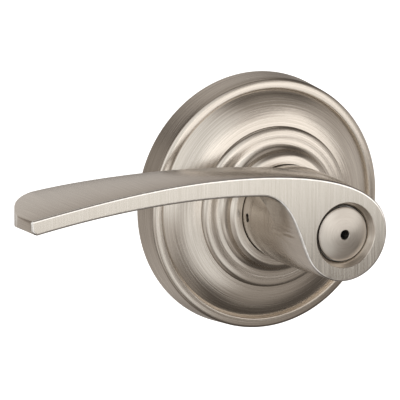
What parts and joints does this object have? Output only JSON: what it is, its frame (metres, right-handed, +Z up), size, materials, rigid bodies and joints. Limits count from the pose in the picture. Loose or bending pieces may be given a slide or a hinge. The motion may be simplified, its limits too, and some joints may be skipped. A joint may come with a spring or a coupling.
{
  "type": "door lever handle",
  "caption": "Outside half of a privacy door lever set: round stepped rose, curved flat lever with a domed pinhole insert, return spring, catch, square spindle and release rod.",
  "frame": {"origin": "on the spindle axis, in the plane of the door's face", "axes": "-Y outward from the door, +Y into the door along the spindle, +Z up, the lever's tip towards -X"},
  "size_m": [0.1399, 0.1014, 0.076],
  "materials": {
    "satin_nickel_rose": "satin nickel, brushed round the axis",
    "satin_nickel_lever": "satin nickel, front face brushed upright",
    "satin_nickel_disc": "satin nickel, fine blasted",
    "zinc_plated_steel": "zinc plated, semi-bright",
    "plain_steel": "turned and pressed steel",
    "spring_steel": "oil-tempered, dark",
    "cast_zinc": "as cast, matt",
    "bronze": "sintered bush",
    "white_nylon": "moulded, matt",
    "black_nylon": "moulded, matt"
  },
  "bodies": {
    "rose": {"rosette": "satin_nickel_rose", "mounting_plate": "zinc_plated_steel", "mounting_posts": "zinc_plated_steel", "rosette_clips": "spring_steel", "spring_housing": "cast_zinc", "housing_screws": "zinc_plated_steel", "hub_bearing": "bronze", "return_spring": "spring_steel"},
    "lever": {"lever": "satin_nickel_lever", "drive_hub": "plain_steel", "drive_cam": "plain_steel", "thrust_washer": "zinc_plated_steel", "hub_circlip": "spring_steel", "spindle": "zinc_plated_steel", "spindle_clip": "spring_steel", "rod_guide": "white_nylon", "pin_guide": "black_nylon", "insert_ring": "spring_steel", "insert_disc": "satin_nickel_disc", "catch_spring": "spring_steel", "release_spring": "spring_steel"},
    "catch": {"lever_catch": "plain_steel"},
    "release": {"release_rod": "plain_steel", "rod_clip": "spring_steel"}
  },
  "joints": [
    {"name": "lever_turn", "type": "hinge", "parent": "rose", "child": "lever", "pos_m": [0, 0, 0], "axis": [0, -1, 0], "range_deg": [-55, 55], "stiffness_Nm_per_rad": 1.5, "springref_deg": -1.72, "deforming": ["return_spring"]},
    {"name": "catch_press", "type": "slide", "parent": "lever", "child": "catch", "axis": [1, 0, 0], "range_m": [0, 0.0034], "stiffness_N_per_m": 500, "springref_m": -0.002, "deforming": ["catch_spring"]},
    {"name": "release_push", "type": "slide", "parent": "lever", "child": "release", "axis": [0, 1, 0], "range_m": [0, 0.004], "stiffness_N_per_m": 300, "springref_m": -0.003, "deforming": ["release_spring"]}
  ]
}
